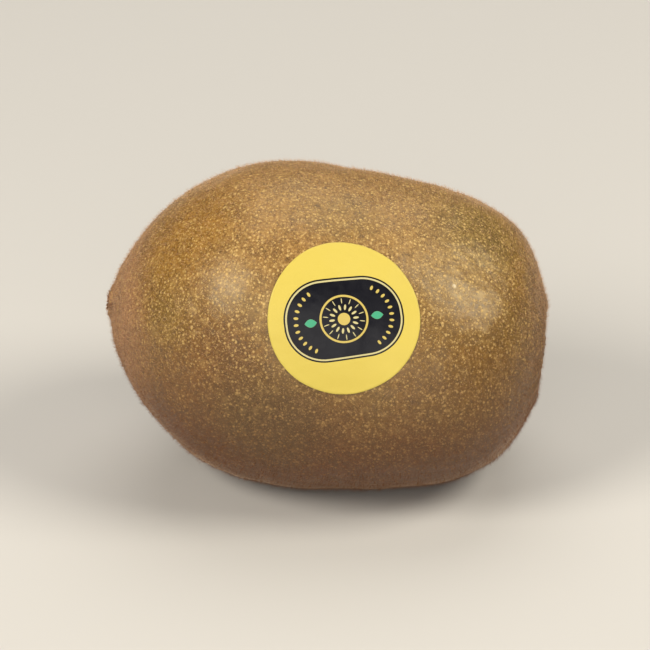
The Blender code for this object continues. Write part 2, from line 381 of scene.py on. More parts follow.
def newGroup(name, inputs, colours, values):
    # Shader group that takes a Vector and the named numbers, and gives the named colours and values, returned
    # with its input and output nodes
    group = bpy.data.node_groups.new(name, "ShaderNodeTree")
    group.interface.new_socket("Vector", in_out="INPUT", socket_type="NodeSocketVector")
    for socket, value in inputs.items():
        group.interface.new_socket(socket, in_out="INPUT", socket_type="NodeSocketFloat").default_value = value
    for kind, names in (("NodeSocketColor", colours), ("NodeSocketFloat", values)):
        for socket in names:
            group.interface.new_socket(socket, in_out="OUTPUT", socket_type=kind)
    return group, group.nodes.new("NodeGroupInput"), group.nodes.new("NodeGroupOutput")


def speckGroup():
    # Pale dots like lenticels: cells of random points, each with a dot of its own size, some cells left without
    # one
    inputs = dict(Scale=900.0, Size=0.28, Share=0.8)
    group, given, result = newGroup("fruitSpecks", inputs, (), ("Mask", "Height"))
    cells = addNode(group, "ShaderNodeTexVoronoi", {"Vector": given.outputs["Vector"],
                                                    "Scale": given.outputs["Scale"]}, feature="F1")
    chance = addNode(group, "ShaderNodeSeparateColor", {"Color": cells.outputs["Color"]})
    size = times(group, given.outputs["Size"],
                 timesPlus(group, chance.outputs[0], 0.75, 0.45))
    dome = maths(group, "SUBTRACT", 1.0, maths(group, "DIVIDE", cells.outputs["Distance"], size))
    present = maths(group, "LESS_THAN", chance.outputs[1], given.outputs["Share"])
    height = times(group, maths(group, "MAXIMUM", dome, 0.0), present)
    plug(group, result, {"Mask": times(group, ramp(group, dome, 0.0, 0.45), present),
                         "Height": ramp(group, height, 0.0, 0.8)})
    return group


def mottleGroup():
    # Two sizes of soft blotches and a fine grain, each from 0 to 1
    scales = dict(Broad=60.0, Blotch=260.0, Grain=2600.0)
    group, given, result = newGroup("driedMottle", scales, (), scales)
    where = given.outputs["Vector"]
    broad = noise(group, where, given.outputs["Broad"], 2.0, 0.5, 0.4)
    blotch = noise(group, where, given.outputs["Blotch"], 4.0, 0.6, 0.6)
    grain = noise(group, where, given.outputs["Grain"], 4.0, 0.65)
    plug(group, result, {"Broad": ramp(group, broad, 0.30, 0.70), "Blotch": ramp(group, blotch, 0.30, 0.72),
                         "Grain": ramp(group, grain, 0.32, 0.70)})
    return group


specks = speckGroup()
mottle = mottleGroup()


def newMaterial(name, sockets):
    # Material with its Principled shader's fixed values set on its own sockets, and its Object coordinates
    made = bpy.data.materials.new(name)
    made.use_nodes = True
    tree = made.node_tree
    shader = tree.nodes["Principled BSDF"]
    plug(tree, shader, sockets)
    return made, tree, shader, addNode(tree, "ShaderNodeTexCoord").outputs["Object"]


def useGroup(tree, group, **links):
    # Outputs of a group node placed with its own values
    return addNode(tree, "ShaderNodeGroup", links, node_tree=group).outputs


def mottled(tree, where, scales):
    # The mottle at its own three scales, as waves in a metre: broad, blotch and grain
    broad, blotch, grain = scales
    return useGroup(tree, mottle, Vector=where, Broad=broad, Blotch=blotch, Grain=grain)


# Looks of the skin, with colours as linear red, green and blue. A band goes from its first place to its second,
# in metres, and has a share and a colour. A grain has two limits and a share. A patch has its place along the
# axis in metres, degrees above the front, radius, strength and colour.
skinLook = dict(
    golden=(0.262, 0.114, 0.006, 1), olive=(0.198, 0.112, 0.008, 1), dark=(0.055, 0.020, 0.002, 1),
    pale=(0.690, 0.455, 0.150, 1), paintedShadeSpeck=(0.240, 0.115, 0.030, 1),
    oliveSide=(-0.020, 0.030, 0.40), oliveAreas=0.55,
    # The first band is painted light: it lightens the top of the skin, where the light falls from above.
    bands=dict(paintedLightTop=(0.032, 0.049, 0.65, (0.385, 0.205, 0.058, 1)),
               # The second band is painted shade with a painted warm bounce: it darkens and reddens the skin
               # towards the bottom, a little of it the skin's own browner underside.
               low=(0.043, 0.014, 0.92, (0.076, 0.012, 0.001, 1)),
               tip=(-0.0270, -0.0335, 0.7, (0.385, 0.180, 0.088, 1)),
               stalk=(0.0285, 0.0335, 0.7, (0.120, 0.052, 0.022, 1))),
    lowWander=0.004, mottle=(55.0, 230.0, 1300.0), blotches=0.34,
    coarse=(700.0, 2.0, 0.6), fine=(2100.0, 3.0, 0.7),
    coarseShade=(0.50, 0.30, 0.24), fineShade=(0.52, 0.34, 0.54),
    coarseLight=(0.54, 0.74, 0.20), fineLight=(0.55, 0.69, 0.52),
    large=dict(Scale=1500.0, Size=0.36, Share=0.85), small=dict(Scale=2400.0, Size=0.36, Share=0.9),
    largeShare=0.62, smallShare=0.42, smallHeight=0.5, bump=(0.00005, 0.5),
    roughness=dict(least=0.36, grain=0.16, dry=0.24, specks=0.10),
    gloss={"Sheen Weight": 0.50, "Sheen Roughness": 0.22, "Sheen Tint": (1.0, 0.68, 0.42, 1),
           "Specular IOR Level": 0.78, "Specular Tint": (1.0, 0.98, 0.80, 1)},
    patches=(
        (-0.0230, 66, 0.0130, 0.60, (0.350, 0.160, 0.010, 1)),
        (-0.0080, 76, 0.0080, 0.35, (0.340, 0.175, 0.016, 1)),
        (0.0010, 69, 0.0085, 0.40, (0.185, 0.105, 0.006, 1)),
        (-0.0250, 22, 0.0060, 0.45, (0.210, 0.125, 0.020, 1)),
        (0.0220, 82, 0.0110, 0.55, (0.175, 0.122, 0.018, 1)),
        (-0.0151, 12, 0.0105, 0.70, (0.150, 0.050, 0.004, 1)),
        # Painted shade: this patch darkens the lower front of the skin.
        (-0.0074, -12, 0.0140, 0.62, (0.078, 0.040, 0.009, 1)),
        (-0.0343, 8, 0.0016, 0.75, (0.100, 0.028, 0.010, 1)),
        (0.0192, 50, 0.0005, 0.85, (0.800, 0.660, 0.420, 1)),
    ),
    patchCore=0.25,                           # share of a patch's radius that has its full strength
)


def skinToneGroup():
    # Golden to olive in broad patches; a band of painted light on the top; a band of painted shade with a
    # painted warm bounce low down, over a little of the skin's own browner underside; bands for both ends;
    # round patches of their own colour, one of them painted shade on the lower front; then darker blotches and
    # two sizes of grain that lighten and darken the skin
    group, given, result = newGroup("skinTone", {}, ("Color", "Speck"), ("Dry", "Blotch", "Grain"))
    where = given.outputs["Vector"]
    place = addNode(group, "ShaderNodeSeparateXYZ", {"Vector": where}).outputs
    areas = mottled(group, where, skinLook["mottle"])
    sideLow, sideHigh, sideShare = skinLook["oliveSide"]
    towardsOlive = timesPlus(group, ramp(group, place["X"], sideLow, sideHigh), sideShare,
                             times(group, areas["Broad"], skinLook["oliveAreas"]))
    colour = mixColour(group, towardsOlive, skinLook["golden"], skinLook["olive"])
    wavyHeight = timesPlus(group, areas["Broad"], skinLook["lowWander"], place["Z"])
    masks = {}
    # The first band is painted light on the top; the second is painted shade with a painted warm bounce towards
    # the bottom.
    for name, value in (("paintedLightTop", place["Z"]), ("low", wavyHeight), ("tip", place["X"]), ("stalk", place["X"])):
        start, end, share, tone = skinLook["bands"][name]
        masks[name] = ramp(group, value, start, end)
        colour = mixColour(group, times(group, masks[name], share), colour, tone)
    for x, aboveFront, radius, strength, tone in skinLook["patches"]:
        away = addNode(group, "ShaderNodeVectorMath", {0: where, 1: tuple(skinPlace(x, aboveFront))},
                       operation="DISTANCE").outputs["Value"]
        near = ramp(group, away, radius, skinLook["patchCore"] * radius)
        colour = mixColour(group, times(group, near, strength), colour, tone)
    colour = mixColour(group, times(group, areas["Blotch"], skinLook["blotches"]), colour, skinLook["dark"])
    coarse = noise(group, where, *skinLook["coarse"])
    fine = noise(group, where, *skinLook["fine"])
    # Specks and pale grain turn darker and browner low down through the second band's mask: painted shade.
    speckTone = mixColour(group, masks["low"], skinLook["pale"], skinLook["paintedShadeSpeck"])
    for kind, tone in (("Shade", skinLook["dark"]), ("Light", speckTone)):
        coarseStart, coarseEnd, coarseShare = skinLook["coarse" + kind]
        fineStart, fineEnd, fineShare = skinLook["fine" + kind]
        grain = timesPlus(group, ramp(group, coarse, coarseStart, coarseEnd), coarseShare,
                          times(group, ramp(group, fine, fineStart, fineEnd), fineShare))
        colour = mixColour(group, grain, colour, tone)
    plug(group, result, {"Color": colour, "Speck": speckTone, "Blotch": areas["Blotch"], "Grain": fine,
                         "Dry": maths(group, "MAXIMUM", masks["stalk"], masks["tip"])})
    return group


skinTone = skinToneGroup()


def makeSkinMaterial():
    # Skin colour with pale specks of two sizes, both raised, and a sheen from the finest fuzz
    made, tree, shader, where = newMaterial("goldenBrownSkin", skinLook["gloss"])
    tone = useGroup(tree, skinTone, Vector=where)
    large = useGroup(tree, specks, Vector=where, **skinLook["large"])
    small = useGroup(tree, specks, Vector=where, **skinLook["small"])
    colour = mixColour(tree, times(tree, small["Mask"], skinLook["smallShare"]), tone["Color"], tone["Speck"])
    colour = mixColour(tree, times(tree, large["Mask"], skinLook["largeShare"]), colour, tone["Speck"])
    shares = skinLook["roughness"]
    rough = timesPlus(tree, tone["Grain"], shares["grain"], shares["least"])
    rough = timesPlus(tree, tone["Dry"], shares["dry"], rough)
    rough = timesPlus(tree, large["Mask"], shares["specks"], rough)
    height = maths(tree, "ADD", large["Height"],
                   timesPlus(tree, small["Height"], skinLook["smallHeight"], tone["Grain"]))
    plug(tree, shader, {"Base Color": colour, "Roughness": rough,
                        "Normal": bumped(tree, height, *skinLook["bump"])})
    return made


skinMaterial = makeSkinMaterial()


def crowdedShares(count):
    # Shares of the meridian from pole to pole, closer together near both ends, without the poles themselves
    share = np.linspace(0, 1, count + 2)[1:-1]
    return share - skin["endCrowding"] * np.sin(2 * math.pi * share)


def makeSkin():
    # The whole skin: rings round the axis from the pointed pole to the blunt one
    angle = roundTurns(skin["around"])
    arcs, angles = np.meshgrid(crowdedShares(skin["along"]) * arcLength, angle, indexing="ij")
    rings = skinAt(arcs, angles)[0]
    poles = skinAt(np.array([0.0, arcLength]), np.array([0.0, 0.0]))[0]
    return closedRings("skin", rings, poles, turned=False)


finishPiece(makeSkin(), skinMaterial, "fruit_body")


# Label: place and size on the skin, and the film's own shape
label = dict(
    width=0.0234, height=0.0244, x=0.0029, aboveFront=math.radians(31.3),
    thickness=0.00009, gap=0.00006, edgeLift=0.00009, tilt=math.radians(14.5),
    rings=44, around=180, mapSize=0.026, peelShare=0.35,
    ripples=((2, 0.32, 0.8), (5, 0.18, 2.0)),             # waves round the rim, share of its lift and phase
    tucks=(31, 0.12), rimHeights=(0.92, 0.55, 0.18), rimShare=0.9985,
)


def labelPlace(right, up):
    # Arc length and angle of a point of the label, from its middle, along the axis and up round the fruit
    arc = np.interp(label["x"] + right, outline["x"], outline["arc"])
    return arc, math.pi - (label["aboveFront"] + up / fruit["radius"])


def underLabel(arc, angle, margin):
    # True where a place on the skin is covered by the label or within margin of its edge
    right = alongMeridian(arc, "x") - label["x"]
    up = np.angle(np.exp(1j * (math.pi - label["aboveFront"] - angle))) * fruit["radius"]
    return (right / (label["width"] / 2 + margin)) ** 2 + (up / (label["height"] / 2 + margin)) ** 2 < 1


def scatter(count, seed, endBias=0.0):
    # Random places spread evenly over the skin's area: the arc length is drawn from the running total of the
    # meridian's radius, which endBias can thicken near both ends
    draw = np.random.default_rng(seed)
    weight = outline["r"] * (1 + endBias * (np.abs(outline["x"]) / halfLength) ** 8)
    total = np.concatenate([[0], np.cumsum((weight[1:] + weight[:-1]) / 2 * np.diff(outline["arc"]))])
    arc = np.interp(draw.uniform(0, total[-1], count), total, outline["arc"])
    return arc, draw.uniform(0, 2 * math.pi, count), draw


def tangents(normals):
    # Two unit directions in the skin: down the meridian to the pointed end, and round the fruit
    axis = turnToRow(np.array([-1.0, 0.0, 0.0]))
    along = axis - normals * (normals @ axis)[:, None]
    length = np.linalg.norm(along, axis=1, keepdims=True)
    spare = np.array([0.0, 0.0, 1.0]) - normals * normals[:, 2:3]
    along = np.where(length > 0.05, along / np.maximum(length, 1e-6),
                     spare / np.maximum(np.linalg.norm(spare, axis=1, keepdims=True), 1e-6))
    return along, np.cross(normals, along)


def bareOfLabel(arc, angle, piece):
    # Skin points and normals, less those under or close to the label and those too close to the floor
    free = ~underLabel(arc, angle, piece["fromLabel"])
    points, normals = skinAt(arc[free], angle[free])
    up = points[:, 2] > piece["lowest"]
    return points[up], normals[up]


# Warts: the raised pale lenticels, as low domes
warts = dict(
    count=12000, radius=(0.00008, 0.00019), smallMore=1.6, ragged=(0.75, 1.25), height=0.30, sides=6,
    sunk=0.00003, fromLabel=0.0002, lowest=0.0004, seed=21, pale=(0.25, 0.30), roughness=(0.50, 0.2),
)


def makeWarts():
    # Low domes standing on the skin: a ragged base ring just below the surface and a top
    arc, angle, draw = scatter(warts["count"], warts["seed"])
    points, normals = bareOfLabel(arc, angle, warts)
    along, across = tangents(normals)
    count, sides = len(points), warts["sides"]
    least, most = warts["radius"]
    size = least + (most - least) * draw.random(count) ** warts["smallMore"]
    turn = roundTurns(sides)[None] + draw.uniform(0, 1, (count, 1))
    reach = draw.uniform(*warts["ragged"], (count, sides)) * size[:, None]
    flat = ((np.cos(turn) * reach)[..., None] * along[:, None]
            + (np.sin(turn) * reach)[..., None] * across[:, None])
    base = points[:, None] + flat - normals[:, None] * warts["sunk"]
    top = points[:, None] + (size * warts["height"])[:, None, None] * normals[:, None]
    ring = np.arange(sides)
    cap = np.stack([ring, (ring + 1) % sides, np.full(sides, sides)], axis=-1)
    floor = ring[::-1][None]
    return repeatedShape("skin_warts", np.concatenate([base, top], axis=1), [cap.tolist(), floor.tolist()])


def makeWartMaterial():
    # Corky tan that varies from wart to wart, over the skin's tone, so it takes the same painted light on the
    # top and painted shade low down
    made, tree, shader, where = newMaterial("corkyWarts", {"Sheen Weight": 0.1})
    tone = useGroup(tree, skinTone, Vector=where)
    leastPale, blotchPale = warts["pale"]
    leastRough, grainRough = warts["roughness"]
    pale = timesPlus(tree, tone["Blotch"], blotchPale, leastPale)
    plug(tree, shader, {"Base Color": mixColour(tree, pale, tone["Color"], tone["Speck"]),
                        "Roughness": timesPlus(tree, tone["Grain"], grainRough, leastRough)})
    return made


finishPiece(makeWarts(), makeWartMaterial())


# Fuzz: short stiff hairs and as many longer ones, leaning to the pointed end, thicker set near both ends
fuzz = dict(
    kinds=(dict(name="fuzz_short", length=(0.00020, 0.00050), radius=0.000014, lift=(25, 85), seed=31),
           dict(name="fuzz_long", length=(0.00040, 0.00095), radius=0.000018, lift=(25, 80), seed=32)),
    count=48000, endBias=1.2, swing=0.9, sunk=0.00004, fromLabel=0.0001, lowest=0.0006, tipLowest=0.00005,
    # Straw and tan are the hairs' own colours; the reddish brown they turn low down is painted shade.
    straw=(0.72, 0.46, 0.27, 1), tan=(0.48, 0.26, 0.12, 1), paintedShadeFuzz=(0.22, 0.085, 0.030, 1),
    paintedShadeFuzzBand=(0.036, 0.012), mottle=(90.0, 900.0, 3000.0),
)


def makeFuzz(kind):
    # Needles of three sides: a base triangle sunk in the skin and a tip, leaned from the normal towards the
    # pointed end with a random turn
    arc, angle, draw = scatter(fuzz["count"], kind["seed"], fuzz["endBias"])
    points, normals = bareOfLabel(arc, angle, fuzz)
    along, across = tangents(normals)
    count = len(points)
    swing = draw.normal(0, fuzz["swing"], count)[:, None]
    lean = along * np.cos(swing) + across * np.sin(swing)
    lift = np.radians(draw.uniform(*kind["lift"], count))[:, None]
    direction = lean * np.cos(lift) + normals * np.sin(lift)
    length = draw.uniform(*kind["length"], count)[:, None]
    side = unit(np.cross(direction, normals))
    other = np.cross(direction, side)
    turn = roundTurns(3)[None, :, None]
    base = points[:, None] - normals[:, None] * fuzz["sunk"]
    base = base + kind["radius"] * (np.cos(turn) * side[:, None] + np.sin(turn) * other[:, None])
    tip = points + direction * length
    tip[:, 2] = np.maximum(tip[:, 2], fuzz["tipLowest"])
    return repeatedShape(kind["name"], np.concatenate([base, tip[:, None]], axis=1),
                         [[(0, 1, 3), (1, 2, 3), (2, 0, 3), (2, 1, 0)]])


def makeFuzzMaterial():
    # Straw hairs, varied over the fruit, that turn reddish brown low down: painted shade
    made, tree, shader, where = newMaterial("strawFuzz", {"Roughness": 0.6, "Specular IOR Level": 0.3})
    areas = mottled(tree, where, fuzz["mottle"])
    height = addNode(tree, "ShaderNodeSeparateXYZ", {"Vector": where}).outputs["Z"]
    colour = mixColour(tree, areas["Blotch"], fuzz["straw"], fuzz["tan"])
    # Reddish brown towards the bottom: painted shade.
    colour = mixColour(tree, ramp(tree, height, *fuzz["paintedShadeFuzzBand"]), colour, fuzz["paintedShadeFuzz"])
    plug(tree, shader, {"Base Color": colour})
    return made


fuzzMaterial = makeFuzzMaterial()
for kind in fuzz["kinds"]:
    finishPiece(makeFuzz(kind), fuzzMaterial)


def makeLabelFilm():
    # Thin film on the skin: discs of rings for the top face and back again for the underside, with the rim
    # lifted a little in places
    top = np.linspace(0, 1, label["rings"] + 1)[1:]
    inner, outer = top[:-1], label["rimShare"]
    shares = np.concatenate([inner, [outer, 1.0, outer], inner[::-1]])
    height = np.concatenate([np.ones(len(inner)), label["rimHeights"], np.zeros(len(inner))])
    shares, turns = np.meshgrid(shares, roundTurns(label["around"]), indexing="ij")
    right = shares * np.cos(turns) * label["width"] / 2
    up = shares * np.sin(turns) * label["height"] / 2
    ripple = 0.5 + sum(share * np.sin(count * turns + phase) for count, share, phase in label["ripples"])
    tuckCount, tuckShare = label["tucks"]
    tucks = tuckShare * np.sin(tuckCount * turns + 3 * np.sin(2 * turns)) * smoothStep(0.93, 1.0, shares)
    lift = label["edgeLift"] * (ripple * smoothStep(0.90, 1.0, shares) + tucks)
    lift = lift + label["gap"] + height[:, None] * label["thickness"]
    rings = skinAt(*labelPlace(right, up), label["peelShare"], lift)[0]
    faces = label["gap"] + np.array([1.0, 0.0]) * label["thickness"]
    poles = skinAt(*labelPlace(np.zeros(2), np.zeros(2)), label["peelShare"], faces)[0]
    film = closedRings("label_film", rings, poles)
    flatMap = np.stack([right, up], axis=-1).reshape(-1, 2)
    flatMap = np.concatenate([flatMap, np.zeros((2, 2))]) / label["mapSize"] + 0.5
    corners = np.empty(len(film.data.loops), np.int32)
    film.data.loops.foreach_get("vertex_index", corners)
    film.data.uv_layers["pieceMap"].data.foreach_set("uv", flatMap[corners].astype(np.float32).ravel())
    return film


# The label's print, in millimetres, and its colours, as linear red, green and blue. Beads have their count, the
# radius of their ring, half their width and half their length.
labelLook = dict(
    soft=0.05, panel=(9.25, 6.45, 6.10),      # half width, half height and corner radius
    line=(0.24, 0.30, 0.52), hoop=(3.45, 3.75), core=0.95,
    seeds=(14, 1.85, 0.17, 0.42), rays=(14, 2.85, 0.07, 0.42, 0.5),
    bow=(30, 5.05, 0.20, 0.36), bowMiddle=2.35, bowHalfTurn=1.16,
    leafMiddle=5.15, leafHalf=(0.95, 0.62),
    yellow=(0.622, 0.492, 0.094, 1), ink=(0.004, 0.004, 0.008, 1), pale=(0.560, 0.500, 0.250, 1),
    gold=(0.560, 0.430, 0.110, 1), leaf=(0.060, 0.360, 0.200, 1), worn=(0.590, 0.440, 0.085, 1),
    wornShare=0.18, mottle=(120.0, 700.0, 4000.0), roughness=(0.36, 0.10, -0.08), bump=(0.00002, 0.6),
)


def printGroup():
    # The label's print from its middle: a dark oblong with a thin line inside its edge, a slice drawn as a hoop
    # with seeds, rays and a core, a leaf to either side and a bow of beads at both ends
    group, given, result = newGroup("slicePrint", {}, (), ("Panel", "Pale", "Gold", "Leaf"))
    place = addNode(group, "ShaderNodeSeparateXYZ", {"Vector": given.outputs["Vector"]})
    x, y = place.outputs["X"], place.outputs["Y"]
    absX, absY = maths(group, "ABSOLUTE", x), maths(group, "ABSOLUTE", y)
    soft = labelLook["soft"]

    def less(first, second):
        # First less second
        return maths(group, "SUBTRACT", first, second)

    def inside(value, edge, width=soft):
        # 1 where value is below edge, eased over width
        return ramp(group, value, edge + width / 2, edge - width / 2)

    def both(first, second):
        # 1 where both masks are
        return times(group, first, second)

    def without(first, second):
        # The first mask with the second cut out of it
        return both(first, less(1.0, second))

    def either(first, second):
        # 1 where at least one mask is
        return maths(group, "MAXIMUM", first, second)

    def length(first, second):
        # Square root of the sum of two squares
        return maths(group, "SQRT", timesPlus(group, first, first, times(group, second, second)))

    def beads(radius, turn, count, ringRadius, halfWidth, halfLength, phase=0.0):
        # Small ovals set round a ring, their long axis along the radius: 1 inside them
        share = timesPlus(group, turn, count / (2 * math.pi), phase)
        offset = less(maths(group, "FRACT", maths(group, "ADD", share, 0.5)), 0.5)
        sideways = times(group, offset, times(group, radius, 2 * math.pi / count / halfWidth))
        outwards = times(group, less(radius, ringRadius), 1 / halfLength)
        return inside(length(sideways, outwards), 1.0, 0.22)

    halfWidth, halfHeight, corner = labelLook["panel"]
    # Distance inside the oblong's edge: the corners' radius less how far a point lies beyond their middles
    depth = less(corner, length(maths(group, "MAXIMUM", less(absX, halfWidth - corner), 0.0),
                                maths(group, "MAXIMUM", less(absY, halfHeight - corner), 0.0)))
    panel = ramp(group, depth, -soft / 2, soft / 2)
    lineStart, lineFull, lineEnd = labelLook["line"]
    line = both(ramp(group, depth, lineStart, lineFull), inside(depth, lineEnd))

    radius = length(x, y)
    turn = maths(group, "ARCTAN2", y, x)
    hoopInner, hoopOuter = labelLook["hoop"]
    hoop = without(inside(radius, hoopOuter), inside(radius, hoopInner))
    core = inside(radius, labelLook["core"])
    seeds = beads(radius, turn, *labelLook["seeds"])
    rays = beads(radius, turn, *labelLook["rays"])

    nearX = less(absX, labelLook["bowMiddle"])
    endTurn = maths(group, "ARCTAN2", y, nearX)
    bow = both(beads(length(nearX, y), endTurn, *labelLook["bow"]),
               inside(maths(group, "ABSOLUTE", endTurn), labelLook["bowHalfTurn"], 0.02))

    # A leaf is a lens: its half height falls as the square of the place along it
    leafLong, leafHigh = labelLook["leafHalf"]
    leafX = times(group, maths(group, "ABSOLUTE", less(absX, labelLook["leafMiddle"])), 1 / leafLong)
    lens = less(times(group, leafHigh, less(1.0, times(group, leafX, leafX))), absY)
    leaf = ramp(group, lens, -soft / 2, soft / 2)

    gold = either(hoop, either(core, bow))
    pale = either(line, either(seeds, rays))
    dark = without(without(panel, either(gold, pale)), leaf)
    plug(group, result, {"Panel": dark, "Pale": pale, "Gold": gold, "Leaf": leaf})
    return group


def makeLabelMaterial():
    # Satin film: yellow with a faint mottle, and the print laid over it
    made, tree, shader, where = newMaterial("printedFilm", {"Specular IOR Level": 0.22})
    flat = addNode(tree, "ShaderNodeUVMap", uv_map="pieceMap").outputs["UV"]
    middle = addNode(tree, "ShaderNodeVectorMath", {0: flat, 1: (0.5, 0.5, 0.0)}, operation="SUBTRACT")
    toMillimetres = (1000 * label["mapSize"],) * 3
    turned = addNode(tree, "ShaderNodeMapping", {"Vector": middle.outputs[0], "Scale": toMillimetres,
                                                 "Rotation": (0, 0, -label["tilt"])}, vector_type="POINT")
    printed = useGroup(tree, printGroup(), Vector=turned.outputs[0])
    areas = mottled(tree, where, labelLook["mottle"])
    colour = mixColour(tree, times(tree, areas["Broad"], labelLook["wornShare"]), labelLook["yellow"],
                       labelLook["worn"])
    for mask, tone in (("Panel", "ink"), ("Gold", "gold"), ("Pale", "pale"), ("Leaf", "leaf")):
        colour = mixColour(tree, printed[mask], colour, labelLook[tone])
    least, blotchRough, inkRough = labelLook["roughness"]
    rough = timesPlus(tree, printed["Panel"], inkRough, timesPlus(tree, areas["Blotch"], blotchRough, least))
    plug(tree, shader, {"Base Color": colour, "Roughness": rough,
                        "Normal": bumped(tree, areas["Blotch"], *labelLook["bump"])})
    return made


finishPiece(makeLabelFilm(), makeLabelMaterial(), "label")


def endFrame(atStalk):
    # Middle of an end and three unit directions there: two across and one out of the fruit
    sign = 1.0 if atStalk else -1.0
    out = turnToRow(np.array([sign, 0.0, 0.0]))
    across = turnToRow(np.array([0.0, 0.0, -sign]))
    return toRow(np.array([sign * halfLength, 0.0, 0.0])), across, np.cross(out, across), out


def placeAtEnd(end, rho, turn, height):
    # Point from its distance from the axis, its turn round it and its height over the end's plane
    middle, across, second, out = end
    return (middle + (rho * np.cos(turn))[..., None] * across + (rho * np.sin(turn))[..., None] * second
            + (height + 0 * rho)[..., None] * out)


stalkEnd = endFrame(True)
stylarEnd = endFrame(False)


def stalkFloor(rho):
    # Height of the skin over the stalk pole's plane
    near = outline["x"] > halfLength / 2
    place = np.interp(rho, outline["r"][near][::-1], outline["x"][near][::-1])
    return stalkRelief(rho) + place - halfLength


# Stalk scar: the woody button in the middle of the calyx
scar = dict(
    radius=0.0026, height=0.00105, bowl=(0.0009, 0.0018), middle=0.0006, edge=(0.80, 0.00035),
    wall=(1.02, 1.03, 1.02, 0.6), wallHeights=(0.00040, 0.00015, -0.0002, -0.0004),
    spokes=(6, 700, 3.0, 0.00010), lumps=(0.0007, 0.00009), crumbs=(0.00035, 0.00005),
    lobes=((5, 0.05, 1.0), (11, 0.03, 0.0)), around=120, rings=46, seed=41,
)


def makeStalkScar():
    # Turned button with a torn, sunken middle: the height is a bowl with a rough rim, raised by waves that are
    # drawn out along the radius, and the outline is waved by lobes
    share = np.linspace(0, 1, scar["rings"] + 1)[1:]
    radius = np.concatenate([share, scar["wall"]]) * scar["radius"]
    rho, turns = np.meshgrid(radius, roundTurns(scar["around"]), indexing="ij")
    floor = float(stalkFloor(np.array(0.0)))
    edgeStart, edgeDrop = scar["edge"]
    edge = smoothStep(edgeStart * scar["radius"], scar["radius"], rho)
    bowl = smoothStep(*scar["bowl"], rho)
    rise = scar["middle"] + (scar["height"] - scar["middle"]) * bowl - edgeDrop * edge
    acrossStretch, alongStretch, spokeLength, spokeHeight = scar["spokes"]
    spokes = np.stack([np.cos(turns) * acrossStretch, np.sin(turns) * acrossStretch, rho * alongStretch],
                      axis=-1)
    rough = spokeHeight * waves(spokes, spokeLength, scar["seed"])
    for step, (length, height) in enumerate((scar["lumps"], scar["crumbs"])):
        rough = rough + height * waves(flatPoints(rho, turns), length, scar["seed"] + 1 + step)
    height = floor + rise + rough * (1 - 0.4 * edge)
    height[len(share):] = floor + np.array(scar["wallHeights"])[:, None]
    outer = rho * (1 + sum(part * np.sin(count * turns + phase) for count, part, phase in scar["lobes"]))
    rings = placeAtEnd(stalkEnd, outer, turns, height)
    ends = floor + np.array([scar["middle"], scar["wallHeights"][-1]])
    return closedRings("stalk_scar", rings, placeAtEnd(stalkEnd, np.zeros(2), np.zeros(2), ends))


# Sepals: six dried scales round the scar
sepals = dict(
    count=6, reach=0.0054, shortest=0.84, sourceSeed=11, root=0.0019, halfWidth=0.00135, taper=(1.10, 0.85),
    ragged=((7, 0.07), (13, 0.05)), thickness=0.00016, gap=0.00022, cup=0.00016, ridges=(11, 0.00003),
    curl=0.00045, curlShares=(0.5, 1.15), bend=0.10, crumple=(0.0013, 0.00006), rings=16, around=72, seed=43,
)


def makeSepal(index, reach):
    # One pointed scale as a closed pillow: rings grow from its middle to its edge on the top face and shrink
    # back on the underside; the width narrows to the tip, the tip curls up and ridges run along it
    draw = np.random.default_rng(sepals["seed"] + index)
    share = np.linspace(0, 1, sepals["rings"] + 1)[1:]
    face = np.ones(sepals["rings"] - 1)
    side = np.concatenate([face, [0.0], -face])[:, None]
    shares = np.concatenate([share, share[::-1][1:]])
    q, theta = np.meshgrid(shares, roundTurns(sepals["around"]), indexing="ij")
    point = (1 + q * np.cos(theta)) / 2                        # 0 at the root, 1 at the tip
    ragged = 1 + sum(part * np.sin(count * theta + draw.uniform(0, 6)) for count, part in sepals["ragged"])
    widest, narrowing = sepals["taper"]
    wide = q * np.sin(theta) * (widest - narrowing * smoothStep(0.25, 1.05, point)) * ragged
    across = wide * sepals["halfWidth"]
    rho = sepals["root"] + (reach - sepals["root"]) * point
    bend = draw.uniform(-sepals["bend"], sepals["bend"]) * point**2
    edge = np.sqrt(np.clip(1 - q**6, 0, 1))
    ridgeTurns, ridgeHeight = sepals["ridges"]
    crumpleLength, crumpleHeight = sepals["crumple"]
    height = stalkFloor(rho) + sepals["gap"] + sepals["cup"] * wide**2 * (1 + point)
    height = height + sepals["curl"] * draw.uniform(*sepals["curlShares"]) * point**3
    height = height + ridgeHeight * np.cos(wide * ridgeTurns) * smoothStep(0.0, 0.3, point)
    crumpled = np.stack([rho, across, 0 * rho + index], axis=-1)
    height = height + crumpleHeight * waves(crumpled, crumpleLength, sepals["seed"] + index)
    height = height + side * edge * sepals["thickness"] / 2
    turns = 2 * math.pi * index / sepals["count"] + bend + across / np.maximum(rho, 0.001)
    rings = placeAtEnd(stalkEnd, rho, turns, height)
    return rings, (rings[0].mean(axis=0), rings[-1].mean(axis=0))


def makeSepals():
    # All scales in one mesh, each closed by itself; their lengths are drawn as the solid's are
    draw = random.Random(sepals["sourceSeed"])
    reaches = [sepals["reach"] * draw.uniform(sepals["shortest"], 1) for _ in range(sepals["count"])]
    pieces = []
    for index, reach in enumerate(reaches):
        rings, poles = makeSepal(index, reach)
        pieces.append(closedRings(f"sepal_{index}", rings, poles))
    joined = pieces[0]
    with bpy.context.temp_override(active_object=joined, object=joined, selected_objects=pieces,
                                   selected_editable_objects=pieces):
        bpy.ops.object.join()
    joined.name = "sepals"
    joined.data.name = "sepals"
    return joined


